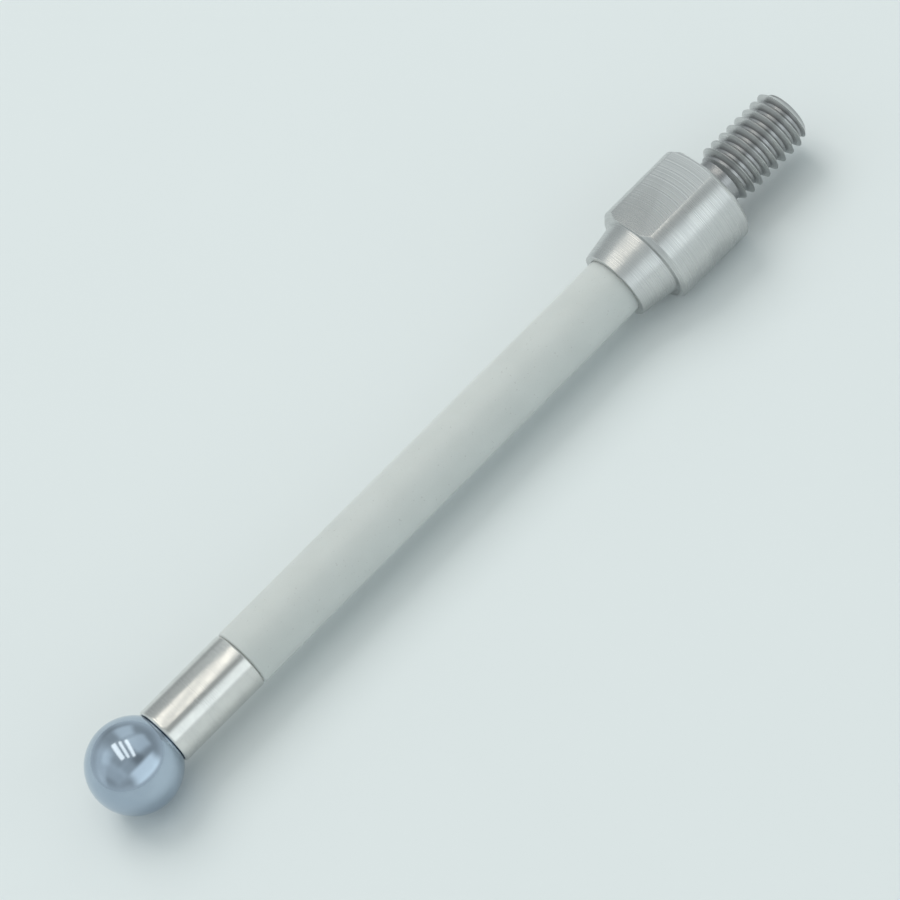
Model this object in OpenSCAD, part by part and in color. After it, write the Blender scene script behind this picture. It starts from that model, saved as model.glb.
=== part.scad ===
// Touch probe tip: a polished ball on a steel holder, bonded to a ceramic stem with a threaded base.
// The tip lies along X with the ball at -X. The origin is on the axis, in the plane of the seating shoulder.

/* [Ball] */
// Distance from the seating shoulder to the ball centre
reach = 50; // [35:0.5:90]
// Diameter of the contact ball
ball_d = 6; // [5:0.1:8]
// Diameter of the peg that locates the ball on its holder
peg_d = 1.6; // [1:0.1:2.2]
// Depth of the peg inside the ball
peg_l = 2; // [1:0.1:2.4]

/* [Ball holder] */
// Distance from the ball centre to the joint between holder and stem
holder_reach = 9; // [6:0.1:14]
// Chamfer on both outer edges of the holder
holder_chamfer = 0.1; // [0.05:0.05:0.3]
// Width of the flat rim around the cup that seats the ball
cup_rim = 0.05; // [0.02:0.01:0.2]
// Diameter of the spigot inside the stem
spigot_d = 2; // [1.4:0.1:2.6]
// Length of the spigot inside the stem
spigot_l = 6; // [3:0.5:12]
// Chamfer on the end of the spigot
spigot_chamfer = 0.2; // [0.1:0.05:0.4]

/* [Stem] */
// Diameter of the stem, and of the holder that is ground flush with it
stem_d = 4; // [3.4:0.1:4.6]
// Chamfer on both outer edges of the stem
stem_chamfer = 0.1; // [0.05:0.05:0.3]
// Glue film in every bonded joint
bond_gap = 0.02; // [0.01:0.005:0.05]

/* [Collar] */
// Diameter of the round collar
collar_d = 7; // [6.6:0.1:9]
// Length of the collar
collar_l = 6; // [4:0.5:10]
// Distance across the two wrench flats
wrench_size = 6; // [5.4:0.1:6.5]
// Chamfer on both outer edges of the collar
collar_chamfer = 0.3; // [0.1:0.05:0.5]
// Length of the tapered nose ahead of the collar
nose_l = 2.5; // [1.5:0.1:5]
// Wall of the nose at its tip, around the stem
nose_wall = 0.4; // [0.3:0.05:0.6]
// Widening of the nose from its tip to the collar, measured on the radius
nose_flare = 0.4; // [0.1:0.05:0.5]
// Metal left between the stem's socket and the seating shoulder
socket_floor = 2.5; // [1.5:0.1:3.5]
// Depth of the recess that keeps the seating shoulder clear of the stud's root
recess_depth = 0.2; // [0.1:0.05:0.4]
// Room between that recess's wall and the thread
recess_gap = 0.3; // [0.2:0.05:0.5]

/* [Stud] */
// Major diameter of the stud's thread
thread_d = 4; // [3:0.5:5]
// Length of the stud beyond the seating shoulder
thread_l = 7; // [5:0.5:14]
// Chamfer on the end of the stud
thread_chamfer = 0.5; // [0.2:0.1:0.8]
// Depth of the relief groove behind the shoulder
relief_depth = 0.45; // [0.3:0.05:0.6]
// Length of the relief groove's floor
relief_l = 1; // [0.6:0.1:1.5]

/* [Hidden] */
$fn = 96;
ball_r = ball_d / 2;
peg_hole_d = peg_d + 2 * bond_gap;
peg_tip = ball_r - peg_l;
cup_r = ball_r + bond_gap;
stem_r = stem_d / 2;
holder_rim_r = stem_r - holder_chamfer;
cup_mouth_r = holder_rim_r - cup_rim;
holder_front = sqrt(pow(cup_r, 2) - pow(cup_mouth_r, 2));
spigot_r = spigot_d / 2;
stem_bore_r = spigot_r + bond_gap;
stem_front = holder_reach - reach + bond_gap;
stem_back = -socket_floor - bond_gap;
stem_rim_r = stem_r - stem_chamfer;
socket_d = stem_d + 2 * bond_gap;
nose_tip_r = socket_d / 2 + nose_wall;
nose_root_r = nose_tip_r + nose_flare;
nose_front = -collar_l - nose_l;
collar_r = collar_d / 2;
collar_rim_r = collar_r - collar_chamfer;
thread_r = thread_d / 2;
recess_r = thread_r + recess_gap;
relief_r = thread_r - relief_depth;
base_l = thread_l - nose_front;

// A turned solid around X, from the points [x, radius] of its half outline.
module turned(outline) {
    rotate([0, 90, 0])
        rotate_extrude()
            polygon([for (point = outline) [point[1], point[0]]]);
}

// A ball around the point where it is placed, with its poles on the X axis.
module sphere_on_axis(radius) {
    rotate([0, 90, 0])
        sphere(r = radius);
}

// A round pin along X that starts at the given place.
module pin(start, length, diameter) {
    translate([start, 0, 0])
        rotate([0, 90, 0])
            cylinder(h = length, d = diameter);
}

// The ball, with the blind hole for the holder's peg.
module contact_ball() {
    color([0.56, 0.62, 0.66])
        translate([-reach, 0, 0])
            difference() {
                sphere_on_axis(ball_r);
                pin(peg_tip - bond_gap, ball_d, peg_hole_d);
            }
}

// The holder: a cup and a peg for the ball, a sleeve flush with the stem, and a spigot for the stem's bore.
module ball_holder() {
    sleeve = [
        [holder_front, 0],
        [holder_front, holder_rim_r],
        [holder_front + holder_chamfer, stem_r],
        [holder_reach - holder_chamfer, stem_r],
        [holder_reach, holder_rim_r],
        [holder_reach, spigot_r],
        [holder_reach + spigot_l - spigot_chamfer, spigot_r],
        [holder_reach + spigot_l, spigot_r - spigot_chamfer],
        [holder_reach + spigot_l, 0]
    ];
    color([0.78, 0.78, 0.76])
        translate([-reach, 0, 0])
            union() {
                difference() {
                    turned(sleeve);
                    sphere_on_axis(cup_r);
                }
                pin(peg_tip, holder_reach - peg_tip, peg_d);
            }
}

// The stem: a ceramic tube between the holder's shoulder and the floor of the base's socket.
module ceramic_stem() {
    tube = [
        [stem_front, stem_bore_r],
        [stem_front, stem_rim_r],
        [stem_front + stem_chamfer, stem_r],
        [stem_back - stem_chamfer, stem_r],
        [stem_back, stem_rim_r],
        [stem_back, stem_bore_r]
    ];
    color([0.9, 0.91, 0.89])
        turned(tube);
}

// The base: a nose and collar around the stem's socket, two wrench flats, a recessed shoulder and the stud.
module threaded_base() {
    body = [
        [nose_front, 0],
        [nose_front, nose_tip_r],
        [-collar_l, nose_root_r],
        [-collar_l, collar_rim_r],
        [collar_chamfer - collar_l, collar_r],
        [-collar_chamfer, collar_r],
        [0, collar_rim_r],
        [0, recess_r],
        [-recess_depth, recess_r],
        [-recess_depth, relief_r],
        [relief_l, relief_r],
        [relief_l + relief_depth, thread_r],
        [thread_l - thread_chamfer, thread_r],
        [thread_l, thread_r - thread_chamfer],
        [thread_l, 0]
    ];
    color([0.72, 0.73, 0.73])
        difference() {
            intersection() {
                turned(body);
                cube([2 * base_l, 2 * collar_d, wrench_size], center = true);
            }
            pin(nose_front, -socket_floor - nose_front, socket_d);
        }
}

contact_ball();
ball_holder();
ceramic_stem();
threaded_base();
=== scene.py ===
"""A touch probe tip on a pale floor: a polished ball, its holder, a ceramic stem and a threaded base."""

import logging
import math
from collections import Counter
from dataclasses import dataclass
from enum import Enum
from typing import Any, Optional, Sequence, Union

import bpy
from mathutils import Matrix, Vector


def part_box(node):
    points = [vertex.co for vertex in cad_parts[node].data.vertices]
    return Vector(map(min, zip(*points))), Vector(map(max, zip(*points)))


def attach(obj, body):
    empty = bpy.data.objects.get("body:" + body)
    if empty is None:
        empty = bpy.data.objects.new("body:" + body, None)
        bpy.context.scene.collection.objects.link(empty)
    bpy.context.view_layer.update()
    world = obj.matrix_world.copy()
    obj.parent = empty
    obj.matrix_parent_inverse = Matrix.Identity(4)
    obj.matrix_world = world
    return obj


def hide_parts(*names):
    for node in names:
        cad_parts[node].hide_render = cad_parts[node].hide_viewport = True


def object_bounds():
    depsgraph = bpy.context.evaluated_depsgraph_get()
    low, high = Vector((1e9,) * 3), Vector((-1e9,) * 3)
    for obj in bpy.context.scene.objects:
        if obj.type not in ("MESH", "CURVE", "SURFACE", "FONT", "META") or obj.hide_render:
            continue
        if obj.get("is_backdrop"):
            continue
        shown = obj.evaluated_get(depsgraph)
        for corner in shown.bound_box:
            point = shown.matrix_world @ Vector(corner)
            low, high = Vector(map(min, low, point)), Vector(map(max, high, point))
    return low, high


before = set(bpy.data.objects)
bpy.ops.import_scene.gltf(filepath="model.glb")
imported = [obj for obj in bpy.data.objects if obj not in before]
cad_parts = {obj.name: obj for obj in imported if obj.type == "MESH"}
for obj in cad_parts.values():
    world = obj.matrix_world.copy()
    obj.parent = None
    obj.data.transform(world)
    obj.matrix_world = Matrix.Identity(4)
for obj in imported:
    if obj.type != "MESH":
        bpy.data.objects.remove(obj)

LOG = logging.getLogger("probe_tip")
BODY = "root"

# Sizes in this file are metres. Those of the tip are written as millimetres times MM.
MM = 0.001
FULL_TURN = 2 * math.pi
AXIS = Vector((1, 0, 0))

Point = tuple[float, float]
Outline = list[Point]
Span = tuple[float, float]
Colour = tuple[float, float, float]


class Node(Enum):
    """The solids of the frame that the pieces stand for."""

    BALL = "contact_ball"
    HOLDER = "ball_holder"
    STEM = "ceramic_stem"
    BASE = "threaded_base"


class Slot(Enum):
    """Names for the pieces' material slots; Bench.seat takes one but does not use it."""

    BALL = "ball"
    HOLDER = "holder"
    STEM = "stem"
    BASE = "base"


class Bench:
    """The shop's tools. Each works on one piece. All but edit and draw leave Blender in object mode."""

    turn_steps: int = 160
    merge_distance: float = 0.0005 * MM
    crease_angle: float = math.radians(28)
    edge_segments: int = 3

    @staticmethod
    def pick(piece: bpy.types.Object) -> None:
        """Select one piece alone and make it the active one.

        Args:
            piece: The piece to pick.
        """
        bpy.ops.object.select_all(action="DESELECT")
        piece.select_set(True)
        bpy.context.view_layer.objects.active = piece

    @classmethod
    def edit(cls, piece: bpy.types.Object) -> None:
        """Open a piece in edit mode with everything on it selected.

        Args:
            piece: The piece to open.
        """
        cls.pick(piece)
        bpy.ops.object.mode_set(mode="EDIT")
        bpy.ops.mesh.select_all(action="SELECT")

    @classmethod
    def close_up(cls) -> None:
        """Merge what lies on one spot, turn all faces outwards and leave edit mode."""
        bpy.ops.mesh.select_all(action="SELECT")
        bpy.ops.mesh.remove_doubles(threshold=cls.merge_distance)
        bpy.ops.mesh.normals_make_consistent(inside=False)
        bpy.ops.object.mode_set(mode="OBJECT")

    @classmethod
    def draw(cls, name: str, outline: Outline) -> bpy.types.Object:
        """Draw a line of edges in the plane of the axis, left open in edit mode.

        Args:
            name: Name of the new piece.
            outline: Points as (place along the axis, distance from the axis).

        Returns:
            The piece, with its line selected.
        """
        bpy.ops.object.select_all(action="DESELECT")
        bpy.ops.mesh.primitive_plane_add(size=MM)
        piece = bpy.context.object
        piece.name = name
        bpy.ops.object.mode_set(mode="EDIT")
        bpy.ops.mesh.select_all(action="SELECT")
        bpy.ops.mesh.merge(type="CENTER")
        places = [Vector((along, 0, radius)) for along, radius in outline]
        bpy.ops.transform.translate(value=places[0])
        for last, place in zip(places, places[1:]):
            bpy.ops.mesh.extrude_region_move(TRANSFORM_OT_translate={"value": place - last})
        bpy.ops.mesh.select_all(action="SELECT")
        return piece

    @classmethod
    def turn(cls, name: str, outline: Outline) -> bpy.types.Object:
        """Turn a piece around the tip's axis.

        Args:
            name: Name of the new piece.
            outline: Half outline, from the axis to the axis or back to its first point.

        Returns:
            The closed turned piece.
        """
        piece = cls.draw(name, outline)
        bpy.ops.mesh.spin(steps=cls.turn_steps, angle=FULL_TURN, center=(0, 0, 0), axis=AXIS)
        cls.close_up()
        return piece

    @classmethod
    def mill(cls, piece: bpy.types.Object, depth: float, normal: Vector) -> None:
        """Mill one flat on a piece.

        Args:
            piece: The piece to cut.
            depth: Distance of the flat from the origin.
            normal: Direction in which the flat looks.
        """
        cls.edit(piece)
        bpy.ops.mesh.bisect(
            plane_co=normal * depth,
            plane_no=normal,
            use_fill=True,
            clear_outer=True,
            threshold=cls.merge_distance,
        )
        cls.close_up()

    @classmethod
    def apply(cls, piece: bpy.types.Object, kind: str, **settings: Any) -> None:
        """Add a modifier to a piece and apply it.

        Args:
            piece: The piece to change.
            kind: The modifier's type.
            settings: The modifier's properties.
        """
        cls.pick(piece)
        modifier = piece.modifiers.new(kind.title(), kind)
        for key, value in settings.items():
            setattr(modifier, key, value)
        bpy.ops.object.modifier_apply(modifier=modifier.name)

    @classmethod
    def cut(cls, piece: bpy.types.Object, cutter: bpy.types.Object) -> None:
        """Take the cutter's volume away from a piece, delete the cutter and clean the cut's edges.

        Args:
            piece: The piece to cut.
            cutter: The closed shape that is taken away.
        """
        cls.apply(piece, "BOOLEAN", operation="DIFFERENCE", solver="EXACT", object=cutter)
        bpy.data.objects.remove(cutter)
        cls.edit(piece)
        bpy.ops.mesh.dissolve_degenerate(threshold=cls.merge_distance)
        cls.close_up()
        cls.straighten(piece)

    @classmethod
    def straighten(cls, piece: bpy.types.Object) -> None:
        """Take out the points that a cut leaves in the middle of an edge, where only two edges meet.

        Args:
            piece: The piece that was cut.
        """
        cls.edit(piece)
        bpy.ops.mesh.select_mode(type="VERT")
        bpy.ops.mesh.select_all(action="DESELECT")
        bpy.ops.object.mode_set(mode="OBJECT")
        meeting = Counter(end for edge in piece.data.edges for end in edge.vertices)
        for point in piece.data.vertices:
            point.select = meeting[point.index] == 2
        bpy.ops.object.mode_set(mode="EDIT")
        bpy.ops.mesh.dissolve_verts()
        cls.close_up()

    @classmethod
    def soften(cls, piece: bpy.types.Object, width: float) -> None:
        """Round every sharp edge of a piece.

        Args:
            piece: The piece to soften.
            width: Width of the rounding.
        """
        cls.apply(
            piece,
            "BEVEL",
            width=width,
            segments=cls.edge_segments,
            limit_method="ANGLE",
            angle_limit=cls.crease_angle,
            use_clamp_overlap=True,
        )

    @classmethod
    def smooth(cls, piece: bpy.types.Object) -> None:
        """Shade a piece smoothly, apart from its sharp edges."""
        cls.pick(piece)
        bpy.ops.object.shade_smooth_by_angle(angle=cls.crease_angle)

    @classmethod
    def seat(cls, piece: bpy.types.Object, node: Node, slot: Slot) -> None:
        """Put a finished piece in the place of its solid.

        Args:
            piece: The dressed piece.
            node: The solid that it stands for.
            slot: The material slot of its finish. Not used.
        """
        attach(piece, BODY)
        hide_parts(node.value)


def arc(centre: float, radius: float, start: float, end: float, steps: int) -> Outline:
    """Points of an arc around a place on the axis.

    Args:
        centre: Place of the arc's centre along the axis.
        radius: Radius of the arc.
        start: First angle from the axis, in radians.
        end: Last angle from the axis, in radians.
        steps: Number of steps between the two.

    Returns:
        The arc's points as (place along the axis, distance from the axis).
    """
    angles = [start + (end - start) * step / steps for step in range(steps + 1)]
    return [(centre + radius * math.cos(angle), radius * math.sin(angle)) for angle in angles]


class Signal:
    """A shader value that takes part in Python arithmetic."""

    def __init__(self, nodes: "Nodes", socket: bpy.types.NodeSocket) -> None:
        """Wrap an output socket of a node."""
        self.nodes = nodes
        self.socket = socket

    def apply(self, operation: str, *others: "Number", swap: bool = False) -> "Signal":
        """Add a Math node.

        Args:
            operation: The node's operation.
            others: The operands besides this value.
            swap: Put this value after the first operand.

        Returns:
            The node's result.
        """
        operands: list[Number] = [self, *others]
        if swap:
            operands[0], operands[1] = operands[1], operands[0]
        sockets = dict(enumerate(operands))
        return self.nodes.signal("ShaderNodeMath", {"operation": operation}, sockets)

    def __add__(self, other: "Number") -> "Signal":
        """Add."""
        return self.apply("ADD", other)

    def __radd__(self, other: "Number") -> "Signal":
        """Add, with this value on the right."""
        return self.apply("ADD", other)

    def __sub__(self, other: "Number") -> "Signal":
        """Subtract."""
        return self.apply("SUBTRACT", other)

    def __rsub__(self, other: "Number") -> "Signal":
        """Subtract this value."""
        return self.apply("SUBTRACT", other, swap=True)

    def __mul__(self, other: "Number") -> "Signal":
        """Multiply."""
        return self.apply("MULTIPLY", other)

    def __rmul__(self, other: "Number") -> "Signal":
        """Multiply, with this value on the right."""
        return self.apply("MULTIPLY", other)

    def __truediv__(self, other: "Number") -> "Signal":
        """Divide."""
        return self.apply("DIVIDE", other)

    def __pow__(self, other: "Number") -> "Signal":
        """Raise to a power."""
        return self.apply("POWER", other)

    def __gt__(self, other: "Number") -> "Signal":
        """One where this value is greater, and zero elsewhere."""
        return self.apply("GREATER_THAN", other)

    def ramp(self, low: float, high: float) -> "Signal":
        """Rise smoothly from zero to one.

        Args:
            low: Value at which the rise begins.
            high: Value at which it ends.

        Returns:
            A value from zero to one.
        """
        sockets = {"Value": self, "From Min": low, "From Max": high}
        settings = {"interpolation_type": "SMOOTHSTEP"}
        return self.nodes.signal("ShaderNodeMapRange", settings, sockets)

    def between(self, low: float, high: float, softness: float) -> "Signal":
        """One between low and high and zero outside, with soft edges."""
        return self.ramp(low - softness, low + softness) - self.ramp(high - softness, high + softness)


Number = Union[float, Signal]


class Nodes:
    """A node tree, and the shorthand that adds nodes to it."""

    def __init__(self, tree: bpy.types.NodeTree) -> None:
        """Take over a node tree."""
        self.tree = tree

    def node(
        self,
        kind: str,
        settings: Optional[dict[str, Any]] = None,
        sockets: Optional[dict[Union[str, int], Any]] = None,
    ) -> bpy.types.Node:
        """Add a node.

        Args:
            kind: The node's type.
            settings: Its properties, set first.
            sockets: Values or links of its inputs, by name or place.

        Returns:
            The new node.
        """
        node = self.tree.nodes.new(kind)
        for key, value in (settings or {}).items():
            setattr(node, key, value)
        for key, value in (sockets or {}).items():
            self.feed(node.inputs[key], value)
        return node

    def feed(self, socket: bpy.types.NodeSocket, value: Any) -> None:
        """Link a socket to a value's node, or set it to a plain value.

        Args:
            socket: The input to feed.
            value: A shader value, an output socket or a plain value.
        """
        if isinstance(value, Signal):
            value = value.socket
        if isinstance(value, bpy.types.NodeSocket):
            self.tree.links.new(value, socket)
        else:
            socket.default_value = value

    def signal(
        self,
        kind: str,
        settings: Optional[dict[str, Any]] = None,
        sockets: Optional[dict[Union[str, int], Any]] = None,
    ) -> Signal:
        """Add a node and wrap its first output.

        Args:
            kind: The node's type.
            settings: Its properties.
            sockets: Values or links of its inputs.

        Returns:
            The node's first output as a value.
        """
        return Signal(self, self.node(kind, settings, sockets).outputs[0])

    def split(self, vector: bpy.types.NodeSocket) -> tuple[Signal, Signal, Signal]:
        """Split a vector.

        Args:
            vector: The output socket that gives it.

        Returns:
            Its three parts.
        """
        node = self.node("ShaderNodeSeparateXYZ", sockets={"Vector": vector})
        x, y, z = (Signal(self, output) for output in node.outputs)
        return x, y, z

    def blend(self, share: Number, first: Any, second: Any) -> bpy.types.NodeSocket:
        """Mix two colours.

        Args:
            share: Share of the second colour.
            first: First colour, as a value or a link.
            second: Second colour, as a value or a link.

        Returns:
            The mixed colour.
        """
        node = self.node("ShaderNodeMix", {"data_type": "RGBA"})
        colours = [socket for socket in node.inputs if socket.type == "RGBA"]
        self.feed(node.inputs["Factor"], share)
        for socket, value in zip(colours, (first, second)):
            self.feed(socket, (*value, 1) if isinstance(value, tuple) else value)
        return next(socket for socket in node.outputs if socket.type == "RGBA")


class Shader(Nodes):
    """The nodes of a material that covers a piece."""

    plain_detail: float = 2.0
    fine_detail: float = 3.0

    def __init__(self, name: str) -> None:
        """Start a material that has a plain surface.

        Args:
            name: The material's name.
        """
        self.material = bpy.data.materials.new(name)
        self.material.use_nodes = True
        super().__init__(self.material.node_tree)
        self.surface = self.tree.nodes["Principled BSDF"]
        self.place = self.node("ShaderNodeTexCoord").outputs["Object"]

    def axes(self) -> tuple[Signal, Signal, Signal]:
        """The three coordinates of a point on the piece, in metres."""
        return self.split(self.place)

    def radius(self) -> Signal:
        """Distance of a point on the piece from the tip's axis."""
        _, y, z = self.axes()
        return (y * y + z * z) ** 0.5

    def cloud(self, size: float, detail: float = plain_detail) -> Signal:
        """Soft random patches of about the given size."""
        sockets = {"Vector": self.place, "Scale": 1 / size, "Detail": detail}
        return self.signal("ShaderNodeTexNoise", None, sockets)

    def lines(self, across: Signal, spacing: float, detail: float = plain_detail) -> Signal:
        """Random lines square to a coordinate.

        Args:
            across: The coordinate that the lines are square to.
            spacing: Mean distance between lines.
            detail: Number of finer layers of lines.

        Returns:
            A value from zero to one.
        """
        settings = {"noise_dimensions": "1D"}
        sockets = {"W": across / spacing, "Scale": 1.0, "Detail": detail}
        return self.signal("ShaderNodeTexNoise", settings, sockets)

    def emboss(self, height: Signal, depth: float) -> None:
        """Give the surface a fine relief.

        Args:
            height: The relief, from zero to one.
            depth: Its height where it is one.
        """
        sockets = {"Height": height, "Distance": depth, "Strength": 1.0}
        bump = self.node("ShaderNodeBump", None, sockets)
        self.feed(self.surface.inputs["Normal"], bump.outputs["Normal"])

    def set(self, **values: Any) -> None:
        """Set or link inputs of the surface, such as base_color or roughness."""
        for key, value in values.items():
            self.feed(self.surface.inputs[key.replace("_", " ").title()], value)


@dataclass(frozen=True)
class BallPolish:
    """Lapped and polished blue-grey steel."""

    light: Colour = (0.468, 0.55, 0.645)
    dark: Colour = (0.408, 0.483, 0.575)
    cloud_size: float = 2.4 * MM
    scratch_size: float = 0.12 * MM
    contrast: Span = (0.3, 0.7)
    roughness: float = 0.10
    haze: float = 0.06

    def make(self) -> bpy.types.Material:
        """Make the material: a mirror with a faint cloud of polish.

        Returns:
            The material.
        """
        shader = Shader("ball_polish")
        cloud = shader.cloud(self.cloud_size, Shader.fine_detail)
        grain = shader.cloud(self.scratch_size)
        shader.set(
            base_color=shader.blend(cloud.ramp(*self.contrast), self.dark, self.light),
            metallic=1.0,
            roughness=self.roughness + self.haze * cloud * grain,
        )
        return shader.material


@dataclass(frozen=True)
class GroundSteel:
    """Bright steel, ground round and round."""

    light: Colour = (0.82, 0.81, 0.78)
    dark: Colour = (0.64, 0.64, 0.63)
    line_spacing: float = 0.03 * MM
    patch_size: float = 0.9 * MM
    line_depth: float = 0.0006 * MM
    ring_share: float = 0.6
    contrast: Span = (0.25, 0.75)
    roughness: float = 0.17
    variation: float = 0.12

    def make(self) -> bpy.types.Material:
        """Make the material: fine rings around the axis, broken by soft patches.

        Returns:
            The material.
        """
        shader = Shader("ground_steel")
        along, _, _ = shader.axes()
        patches = shader.cloud(self.patch_size, Shader.fine_detail)
        rings = shader.lines(along + patches * self.line_spacing, self.line_spacing)
        mixed = rings * self.ring_share + patches * (1 - self.ring_share)
        tone = mixed.ramp(*self.contrast)
        shader.set(
            base_color=shader.blend(tone, self.dark, self.light),
            metallic=1.0,
            roughness=self.roughness + self.variation * (1 - tone),
        )
        shader.emboss(rings, self.line_depth)
        return shader.material


@dataclass(frozen=True)
class GroundCeramic:
    """White ceramic with a fine grain and a dull sheen."""

    light: Colour = (0.61, 0.635, 0.62)
    dark: Colour = (0.575, 0.60, 0.585)
    pore: Colour = (0.42, 0.42, 0.41)
    grain_size: float = 0.05 * MM
    patch_size: float = 2.5 * MM
    pore_size: float = 0.16 * MM
    ring_spacing: float = 0.05 * MM
    depth: float = 0.0012 * MM
    patch_share: float = 0.6
    contrast: Span = (0.3, 0.7)
    pore_detail: float = 1.0
    pore_range: Span = (0.70, 0.78)
    pore_shade: float = 0.5
    ring_share: float = 0.5
    roughness: float = 0.38
    variation: float = 0.12
    translucence: float = 0.5
    light_depth: float = 0.9 * MM
    light_spread: Colour = (1.0, 0.95, 0.9)

    def make(self) -> bpy.types.Material:
        """Make the material: soft patches, sparse pores and faint grinding rings.

        Returns:
            The material.
        """
        shader = Shader("ground_ceramic")
        along, _, _ = shader.axes()
        grain = shader.cloud(self.grain_size)
        patches = shader.cloud(self.patch_size, Shader.fine_detail)
        pores = shader.cloud(self.pore_size, self.pore_detail).ramp(*self.pore_range)
        rings = shader.lines(along, self.ring_spacing)
        mixed = patches * self.patch_share + grain * (1 - self.patch_share)
        body = shader.blend(mixed.ramp(*self.contrast), self.dark, self.light)
        shader.set(
            base_color=shader.blend(pores * self.pore_shade, body, self.pore),
            roughness=self.roughness + self.variation * grain,
            subsurface_weight=self.translucence,
            subsurface_radius=self.light_spread,
            subsurface_scale=self.light_depth,
        )
        shader.emboss(rings * self.ring_share + grain * (1 - self.ring_share), self.depth)
        return shader.material


@dataclass(frozen=True)
class TurnedSteel:
    """Steel as it comes off the lathe, with the tool's feed lines."""

    light: Colour = (0.70, 0.70, 0.69)
    dark: Colour = (0.52, 0.53, 0.53)
    # Colour of the painted shade in the thread's roots and the relief groove.
    root: Colour = (0.30, 0.30, 0.31)
    feed: float = 0.06 * MM
    patch_size: float = 1.4 * MM
    depth: float = 0.0018 * MM
    roughness: float = 0.24
    variation: float = 0.14
    line_share: float = 0.65
    contrast: Span = (0.28, 0.72)
    waver: float = 0.03 * MM
    shoulder: float = 0.0
    # Radii over which the painted shade fades out past the shoulder, and its strength.
    groove: Span = (1.56 * MM, 1.86 * MM)
    groove_shade: float = 0.7

    def make(self) -> bpy.types.Material:
        """Make the material: lines that follow the tool over cylinders, cones and faces alike, with
        painted shade darkening the thread's roots and the relief groove.

        Returns:
            The material.
        """
        shader = Shader("turned_steel")
        along, _, _ = shader.axes()
        radius = shader.radius()
        patches = shader.cloud(self.patch_size, Shader.fine_detail)
        travel = along + radius + patches * self.waver
        feed = shader.lines(travel, self.feed, Shader.fine_detail)
        tone = (feed * self.line_share + patches * (1 - self.line_share)).ramp(*self.contrast)
        steel = shader.blend(tone, self.dark, self.light)
        # Painted shade: past the shoulder, the thread's roots and the relief groove are darkened towards
        # the root colour.
        groove_shade_mask = (along > self.shoulder) * (1 - radius.ramp(*self.groove))
        shader.set(
            base_color=shader.blend(groove_shade_mask * self.groove_shade, steel, self.root),
            metallic=1.0,
            roughness=self.roughness + self.variation * (1 - tone),
        )
        shader.emboss(feed, self.depth)
        return shader.material


@dataclass(frozen=True)
class MilledSteel:
    """A milled flat, with the arcs that the cutter leaves."""

    light: Colour = (0.72, 0.72, 0.71)
    dark: Colour = (0.55, 0.56, 0.56)
    cutter_offset: float = 11 * MM
    spacing: float = 0.09 * MM
    depth: float = 0.0012 * MM
    contrast: Span = (0.3, 0.7)
    roughness: float = 0.22
    variation: float = 0.16

    def make(self) -> bpy.types.Material:
        """Make the material: wide arcs across the flat.

        Returns:
            The material.
        """
        shader = Shader("milled_steel")
        along, across, _ = shader.axes()
        shifted = along + self.cutter_offset
        sweep = (shifted * shifted + across * across) ** 0.5
        arcs = shader.lines(sweep, self.spacing, Shader.fine_detail)
        tone = arcs.ramp(*self.contrast)
        shader.set(
            base_color=shader.blend(tone, self.dark, self.light),
            metallic=1.0,
            roughness=self.roughness + self.variation * (1 - tone),
        )
        shader.emboss(arcs, self.depth)
        return shader.material


@dataclass
class ContactBall:
    """The ball that touches the work, drilled for the holder's peg."""

    centre: float
    radius: float
    peg_hole_radius: float
    peg_hole_end: float
    rings: int = 80

    def outline(self) -> Outline:
        """Work out the drilled ball.

        Returns:
            Half outline, from the ball's front to the floor of the hole.
        """
        mouth = math.asin(self.peg_hole_radius / self.radius)
        floor = self.centre + self.peg_hole_end
        return [
            *arc(self.centre, self.radius, math.pi, mouth, self.rings),
            (floor, self.peg_hole_radius),
            (floor, 0),
        ]

    def build(self) -> bpy.types.Object:
        """Turn the ball with its hole.

        Returns:
            The ball.
        """
        ball = Bench.turn("ball", self.outline())
        Bench.smooth(ball)
        return ball

    def dress(self, ball: bpy.types.Object) -> None:
        """Polish the ball and seat it."""
        ball.data.materials.append(BallPolish().make())
        Bench.seat(ball, Node.BALL, Slot.BALL)


@dataclass
class BallHolder:
    """The sleeve between ball and stem, with its cup, peg and spigot."""

    ball_centre: float
    cup_radius: float
    peg_tip: float
    peg_radius: float
    radius: float
    end: float
    spigot_radius: float
    spigot_end: float
    chamfer: float = 0.1 * MM
    cup_rim: float = 0.05 * MM
    lip: float = 0.26 * MM
    spigot_chamfer: float = 0.2 * MM
    edge: float = 0.02 * MM
    cup_steps: int = 12
    lip_steps: int = 8

    def outline(self) -> Outline:
        """Work out the holder.

        Returns:
            Half outline, from the peg's tip to the spigot's end.
        """
        rim = self.radius - self.chamfer
        mouth = rim - self.cup_rim
        front = self.ball_centre + math.sqrt(self.cup_radius**2 - mouth**2)
        inner = math.asin(self.peg_radius / self.cup_radius)
        outer = math.asin(mouth / self.cup_radius)
        quarter = [math.pi / 2 * step / self.lip_steps for step in range(self.lip_steps + 1)]
        lip = [
            (front + self.lip * (1 - math.cos(angle)), rim + self.chamfer * math.sin(angle))
            for angle in quarter
        ]
        return [
            (self.peg_tip, 0),
            (self.peg_tip, self.peg_radius),
            *arc(self.ball_centre, self.cup_radius, inner, outer, self.cup_steps),
            *lip,
            (self.end - self.chamfer, self.radius),
            (self.end, rim),
            (self.end, self.spigot_radius),
            (self.spigot_end - self.spigot_chamfer, self.spigot_radius),
            (self.spigot_end, self.spigot_radius - self.spigot_chamfer),
            (self.spigot_end, 0),
        ]

    def build(self) -> bpy.types.Object:
        """Turn the holder and break its edges.

        Returns:
            The holder.
        """
        holder = Bench.turn("holder", self.outline())
        Bench.soften(holder, self.edge)
        Bench.smooth(holder)
        return holder

    def dress(self, holder: bpy.types.Object) -> None:
        """Grind the holder bright and seat it."""
        holder.data.materials.append(GroundSteel().make())
        Bench.seat(holder, Node.HOLDER, Slot.HOLDER)


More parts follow.
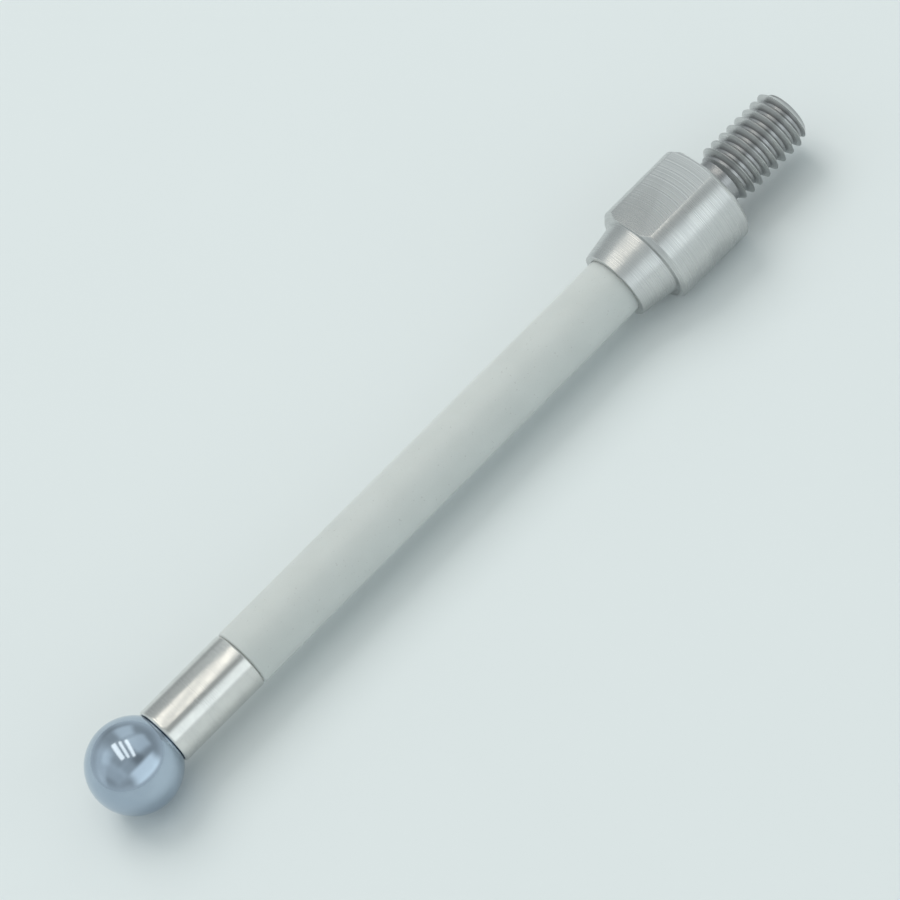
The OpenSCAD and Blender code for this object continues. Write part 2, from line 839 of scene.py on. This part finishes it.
@dataclass
class CeramicStem:
    """The ceramic tube between the holder and the base."""

    front: float
    back: float
    radius: float
    bore_radius: float
    chamfer: float = 0.1 * MM
    edge: float = 0.03 * MM

    def outline(self) -> Outline:
        """Work out the tube.

        Returns:
            Closed outline of its wall.
        """
        rim = self.radius - self.chamfer
        return [
            (self.front, self.bore_radius),
            (self.front, rim),
            (self.front + self.chamfer, self.radius),
            (self.back - self.chamfer, self.radius),
            (self.back, rim),
            (self.back, self.bore_radius),
            (self.front, self.bore_radius),
        ]

    def build(self) -> bpy.types.Object:
        """Turn the tube and break its edges.

        Returns:
            The stem.
        """
        stem = Bench.turn("stem", self.outline())
        Bench.soften(stem, self.edge)
        Bench.smooth(stem)
        return stem

    def dress(self, stem: bpy.types.Object) -> None:
        """Give the stem its ceramic finish and seat it."""
        stem.data.materials.append(GroundCeramic().make())
        Bench.seat(stem, Node.STEM, Slot.STEM)


@dataclass
class ThreadedBase:
    """The steel base: nose, collar with two wrench flats, recessed shoulder and threaded stud."""

    nose_front: float
    stud_end: float
    collar_radius: float
    flat_distance: float
    socket_radius: float
    socket_floor: float
    collar_length: float = 6 * MM
    collar_chamfer: float = 0.3 * MM
    nose_wall: float = 0.4 * MM
    nose_flare: float = 0.4 * MM
    recess_depth: float = 0.2 * MM
    recess_gap: float = 0.3 * MM
    thread_radius: float = 2 * MM
    thread_chamfer: float = 0.5 * MM
    relief_depth: float = 0.45 * MM
    relief_length: float = 1 * MM
    pitch: float = 0.7 * MM
    thread_depth: float = 0.429 * MM
    flank_angle: float = math.radians(30)
    groove_floor_share: float = 0.25
    cutter_margin: float = 0.04 * MM
    edge: float = 0.035 * MM
    thread_steps: int = 120
    almost_level: float = 0.999

    def outline(self) -> Outline:
        """Work out the base before its flats and its thread are cut.

        Returns:
            Half outline, from the socket's floor to the stud's end.
        """
        nose_tip = self.socket_radius + self.nose_wall
        rim = self.collar_radius - self.collar_chamfer
        recess = self.thread_radius + self.recess_gap
        relief = self.thread_radius - self.relief_depth
        return [
            (self.socket_floor, 0),
            (self.socket_floor, self.socket_radius),
            (self.nose_front, self.socket_radius),
            (self.nose_front, nose_tip),
            (-self.collar_length, nose_tip + self.nose_flare),
            (-self.collar_length, rim),
            (self.collar_chamfer - self.collar_length, self.collar_radius),
            (-self.collar_chamfer, self.collar_radius),
            (0, rim),
            (0, recess),
            (-self.recess_depth, recess),
            (-self.recess_depth, relief),
            (self.relief_length, relief),
            (self.relief_length + self.relief_depth, self.thread_radius),
            (self.stud_end - self.thread_chamfer, self.thread_radius),
            (self.stud_end, self.thread_radius - self.thread_chamfer),
            (self.stud_end, 0),
        ]

    def groove_cutter(self) -> bpy.types.Object:
        """Model the helical bar that cuts the thread's groove.

        Returns:
            The cutter, closed at both ends.
        """
        floor = self.thread_radius - self.thread_depth
        top = self.thread_radius + self.cutter_margin
        half_floor = self.groove_floor_share * self.pitch / 2
        half_top = half_floor + (top - floor) * math.tan(self.flank_angle)
        start = self.relief_length - self.pitch / 2
        turns = math.ceil((self.stud_end + self.pitch - start) / self.pitch)
        profile = [
            (start - half_floor, floor),
            (start + half_floor, floor),
            (start + half_top, top),
            (start - half_top, top),
            (start - half_floor, floor),
        ]
        cutter = Bench.draw("groove_cutter", profile)
        bpy.ops.mesh.remove_doubles(threshold=Bench.merge_distance)
        bpy.ops.object.mode_set(mode="OBJECT")
        Bench.apply(
            cutter,
            "SCREW",
            axis="X",
            angle=FULL_TURN,
            screw_offset=self.pitch,
            iterations=turns,
            steps=self.thread_steps,
            render_steps=self.thread_steps,
        )
        Bench.edit(cutter)
        bpy.ops.mesh.select_all(action="DESELECT")
        bpy.ops.mesh.select_non_manifold()
        bpy.ops.mesh.fill_holes(sides=len(profile))
        Bench.close_up()
        return cutter

    def build(self) -> bpy.types.Object:
        """Turn the base, mill its flats, break its edges and cut its thread.

        Returns:
            The base.
        """
        base = Bench.turn("base", self.outline())
        for normal in (Vector((0, 0, 1)), Vector((0, 0, -1))):
            Bench.mill(base, self.flat_distance, normal)
        Bench.soften(base, self.edge)
        Bench.cut(base, self.groove_cutter())
        Bench.smooth(base)
        return base

    def dress(self, base: bpy.types.Object) -> None:
        """Give the turned faces and the milled flats their finishes and seat the base.

        Args:
            base: The base.
        """
        base.data.materials.clear()
        base.data.materials.append(TurnedSteel().make())
        base.data.materials.append(MilledSteel().make())
        for face in base.data.polygons:
            on_flat = abs(face.center.z) > self.flat_distance - self.edge / 2
            face.material_index = int(on_flat and abs(face.normal.z) > self.almost_level)
        Bench.seat(base, Node.BASE, Slot.BASE)


@dataclass(frozen=True)
class Paper:
    """The pale matt floor."""

    light: Colour = (0.755, 0.795, 0.80)
    dark: Colour = (0.735, 0.775, 0.78)
    patch_size: float = 25 * MM
    roughness: float = 0.8

    def make(self) -> bpy.types.Material:
        """Make the material: one pale tone with slow soft patches.

        Returns:
            The material.
        """
        shader = Shader("floor_paper")
        patches = shader.cloud(self.patch_size, Shader.fine_detail)
        shader.set(
            base_color=shader.blend(patches, self.dark, self.light),
            roughness=self.roughness,
        )
        return shader.material


@dataclass(frozen=True)
class Lamp:
    """A flat soft lamp that looks at the middle of the tip.

    The swing runs in the plane square to the tip's axis: 0 is level on the camera's side, 90 degrees is
    overhead and 180 degrees is level on the far side. The lead leans the lamp towards the stud's end, and
    the twist turns it on the spot. Metal shows the lamp itself only where it is mirrored.
    """

    name: str
    swing: float
    lead: float
    twist: float
    distance: float
    width: float
    length: float
    radiance: float
    colour: Colour
    mirrored: bool = True

    def hang(self, target: Vector) -> None:
        """Hang the lamp.

        Args:
            target: The point that it looks at.
        """
        swing, lead = math.radians(self.swing), math.radians(self.lead)
        away = Vector((
            math.sin(lead),
            -math.cos(swing) * math.cos(lead),
            math.sin(swing) * math.cos(lead),
        ))
        side = (AXIS - away * AXIS.dot(away)).normalized()
        data = bpy.data.lights.new(self.name, "AREA")
        data.shape = "RECTANGLE"
        data.size, data.size_y = self.width, self.length
        data.energy = self.radiance * math.pi * self.width * self.length
        data.color = self.colour
        lamp = bpy.data.objects.new(self.name, data)
        turn = Matrix((side, away.cross(side), away)).transposed().to_4x4()
        twist = Matrix.Rotation(math.radians(self.twist), 4, "Z")
        lamp.matrix_world = Matrix.Translation(target + away * self.distance) @ turn @ twist
        lamp.visible_glossy = self.mirrored
        bpy.context.scene.collection.objects.link(lamp)


@dataclass(frozen=True)
class Patch:
    """A soft-edged patch of light or shade in the room, between two swings and two leads in degrees.

    An edge is half the width over which the patch fades. A negative strength takes light away.
    """

    swing: Span
    swing_edge: float
    lead: Span
    lead_edge: float
    strength: float

    def glow(self, swing: Signal, lead: Signal) -> Signal:
        """Work out the light of the patch in one direction.

        Args:
            swing: The direction's swing in degrees.
            lead: The direction's lead in degrees.

        Returns:
            The light that it adds.
        """
        around = swing.between(*self.swing, self.swing_edge)
        along = lead.between(*self.lead, self.lead_edge)
        return around * along * self.strength


@dataclass(frozen=True)
class Room:
    """The daylit room that the metal mirrors."""

    tint: Colour = (0.90, 0.985, 1.0)
    level: float = 0.46
    sweep: float = 0.22
    sweep_height: float = 0.4
    near_wall: Patch = Patch(swing=(8, 43), swing_edge=5, lead=(-28, 44), lead_edge=12, strength=0.7)
    camera_shade: Patch = Patch(swing=(46, 64), swing_edge=5, lead=(0, 24), lead_edge=8, strength=-0.14)
    near_ceiling: Patch = Patch(swing=(44, 72), swing_edge=6, lead=(-40, -6), lead_edge=10, strength=0.13)
    ceiling: Patch = Patch(swing=(68, 124), swing_edge=8, lead=(-48, 48), lead_edge=18, strength=0.06)
    right_window: Patch = Patch(swing=(62, 112), swing_edge=10, lead=(20, 58), lead_edge=6, strength=0.33)
    left_window: Patch = Patch(swing=(104, 134), swing_edge=8, lead=(-40, -16), lead_edge=8, strength=0.2)
    far_window: Patch = Patch(swing=(118, 156), swing_edge=8, lead=(15, 42), lead_edge=6, strength=0.36)
    side_window: Patch = Patch(swing=(35, 120), swing_edge=14, lead=(-66, -33), lead_edge=8, strength=0.2)
    far_wall: Patch = Patch(swing=(117, 160), swing_edge=14, lead=(-76, -12), lead_edge=14, strength=0.3)
    far_shade: Patch = Patch(swing=(160, 190), swing_edge=7, lead=(0, 20), lead_edge=10, strength=-0.15)

    def patches(self) -> list[Patch]:
        """List the patches.

        Returns:
            Those on the camera's side, the windows, and those on the far side.
        """
        near = [self.near_wall, self.camera_shade, self.near_ceiling, self.ceiling]
        windows = [self.right_window, self.left_window, self.far_window, self.side_window]
        far = [self.far_wall, self.far_shade]
        return near + windows + far

    def paint(self) -> None:
        """Paint the world: one level that brightens towards the floor, and the patches on it."""
        world = bpy.data.worlds.new("room")
        bpy.context.scene.world = world
        world.use_nodes = True
        nodes = Nodes(world.node_tree)
        along, across, height = nodes.split(nodes.node("ShaderNodeTexCoord").outputs["Generated"])
        swing = height.apply("ARCTAN2", -1.0 * across).apply("DEGREES")
        lead = along.apply("ARCSINE").apply("DEGREES")
        strength = self.level + self.sweep * (1 - height.ramp(0, self.sweep_height))
        for patch in self.patches():
            strength = strength + patch.glow(swing, lead)
        background = world.node_tree.nodes["Background"]
        nodes.feed(background.inputs["Color"], (*self.tint, 1))
        nodes.feed(background.inputs["Strength"], strength)


@dataclass(frozen=True)
class Stage:
    """Floor, room and lamps around the tip."""

    floor_radius: float = 1.5
    strip_swings: tuple[float, ...] = (101.3, 94.0, 86.7)
    strip_leads: tuple[float, ...] = (-10.2, 1.5, 13.2)
    strip_widths: tuple[float, ...] = (0.11, 0.065, 0.08)
    strip_twist: float = -15.0
    strip_distance: float = 0.62
    strip_length: float = 0.52
    strip_radiance: float = 1.3
    strip_colour: Colour = (1.0, 0.945, 0.85)
    soft_box: Lamp = Lamp(
        name="soft_box",
        swing=125.0,
        lead=5.0,
        twist=0.0,
        distance=1.3,
        width=0.8,
        length=0.8,
        radiance=2.6,
        colour=(1.0, 0.99, 0.97),
        mirrored=False,
    )

    def lamps(self) -> list[Lamp]:
        """List the lamps.

        Returns:
            The three strips on the ceiling and the soft box that throws the shadow.
        """
        places = zip(self.strip_swings, self.strip_leads, self.strip_widths)
        strips = [
            Lamp(
                name=f"strip_{number}",
                swing=swing,
                lead=lead,
                twist=self.strip_twist,
                distance=self.strip_distance,
                width=width,
                length=self.strip_length,
                radiance=self.strip_radiance,
                colour=self.strip_colour,
            )
            for number, (swing, lead, width) in enumerate(places)
        ]
        return [*strips, self.soft_box]

    def build(self, low: Vector, high: Vector) -> None:
        """Lay the floor under the tip and light it.

        Args:
            low: Lowest corner of the tip.
            high: Highest corner of the tip.
        """
        middle = (low + high) / 2
        bpy.ops.object.select_all(action="DESELECT")
        bpy.ops.mesh.primitive_circle_add(
            vertices=Bench.turn_steps,
            radius=self.floor_radius,
            fill_type="NGON",
            location=(0, 0, low.z),
        )
        floor = bpy.context.object
        floor.name = "floor"
        floor.data.materials.append(Paper().make())
        floor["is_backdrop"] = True
        Room().paint()
        for lamp in self.lamps():
            lamp.hang(middle)


@dataclass(frozen=True)
class Viewpoint:
    """The camera: it looks down on the tip, with the tip along the picture's diagonal."""

    distance: float = 288 * MM
    elevation: float = math.radians(50)
    ahead_of_ball: float = 33 * MM
    slant: float = math.radians(45)
    lens: float = 195.0
    nearest: float = 10 * MM

    def set_up(self, ball_centre: float, target: Vector) -> None:
        """Place the camera and make it the scene's own.

        Args:
            ball_centre: Place of the ball's centre along the axis.
            target: Point in the middle of the picture.
        """
        place = Vector((
            ball_centre - self.ahead_of_ball,
            -self.distance * math.cos(self.elevation),
            self.distance * math.sin(self.elevation),
        ))
        back = (place - target).normalized()
        along = (AXIS - back * AXIS.dot(back)).normalized()
        beside = back.cross(along)
        right = along * math.cos(self.slant) - beside * math.sin(self.slant)
        up = along * math.sin(self.slant) + beside * math.cos(self.slant)
        data = bpy.data.cameras.new("camera")
        data.lens = self.lens
        data.clip_start = self.nearest
        camera = bpy.data.objects.new("camera", data)
        turn = Matrix((right, up, back)).transposed().to_4x4()
        camera.matrix_world = Matrix.Translation(place) @ turn
        bpy.context.scene.collection.objects.link(camera)
        bpy.context.scene.camera = camera


@dataclass
class ProbeTip:
    """The whole tip, sized from the solids of the frame."""

    bond: float = 0.02 * MM
    peg_radius: float = 0.8 * MM
    spigot_radius: float = 1 * MM

    def pieces(self) -> list[Union[ContactBall, BallHolder, CeramicStem, ThreadedBase]]:
        """Work out the four pieces from the frame's boxes.

        Returns:
            Ball, holder, stem and base, in the order in which they are built.
        """
        ball_low, ball_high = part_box(Node.BALL.value)
        holder_low, holder_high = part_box(Node.HOLDER.value)
        stem_low, stem_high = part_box(Node.STEM.value)
        base_low, base_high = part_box(Node.BASE.value)
        ball_radius = (ball_high.z - ball_low.z) / 2
        ball_centre = ball_low.x + ball_radius
        stem_radius = stem_high.z
        ball = ContactBall(
            centre=ball_centre,
            radius=ball_radius,
            peg_hole_radius=self.peg_radius + self.bond,
            peg_hole_end=holder_low.x - self.bond - ball_centre,
        )
        holder = BallHolder(
            ball_centre=ball_centre,
            cup_radius=ball_radius + self.bond,
            peg_tip=holder_low.x,
            peg_radius=self.peg_radius,
            radius=stem_radius,
            end=stem_low.x - self.bond,
            spigot_radius=self.spigot_radius,
            spigot_end=holder_high.x,
        )
        stem = CeramicStem(
            front=stem_low.x,
            back=stem_high.x,
            radius=stem_radius,
            bore_radius=self.spigot_radius + self.bond,
        )
        base = ThreadedBase(
            nose_front=base_low.x,
            stud_end=base_high.x,
            collar_radius=base_high.y,
            flat_distance=base_high.z,
            socket_radius=stem_radius + self.bond,
            socket_floor=stem_high.x + self.bond,
        )
        return [ball, holder, stem, base]


def main() -> None:
    """Build and dress the tip, then set up the stage and the camera."""
    logging.basicConfig(level=logging.INFO, format="%(name)s: %(message)s")
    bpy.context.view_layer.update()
    bpy.context.scene.view_settings.view_transform = "Standard"
    pieces = ProbeTip().pieces()
    for piece in pieces:
        made = piece.build()
        piece.dress(made)
        LOG.info("%s: %d faces", made.name, len(made.data.polygons))
    low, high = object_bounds()
    Stage().build(low, high)
    Viewpoint().set_up(pieces[0].centre, (low + high) / 2)


if __name__ == "__main__":
    main()
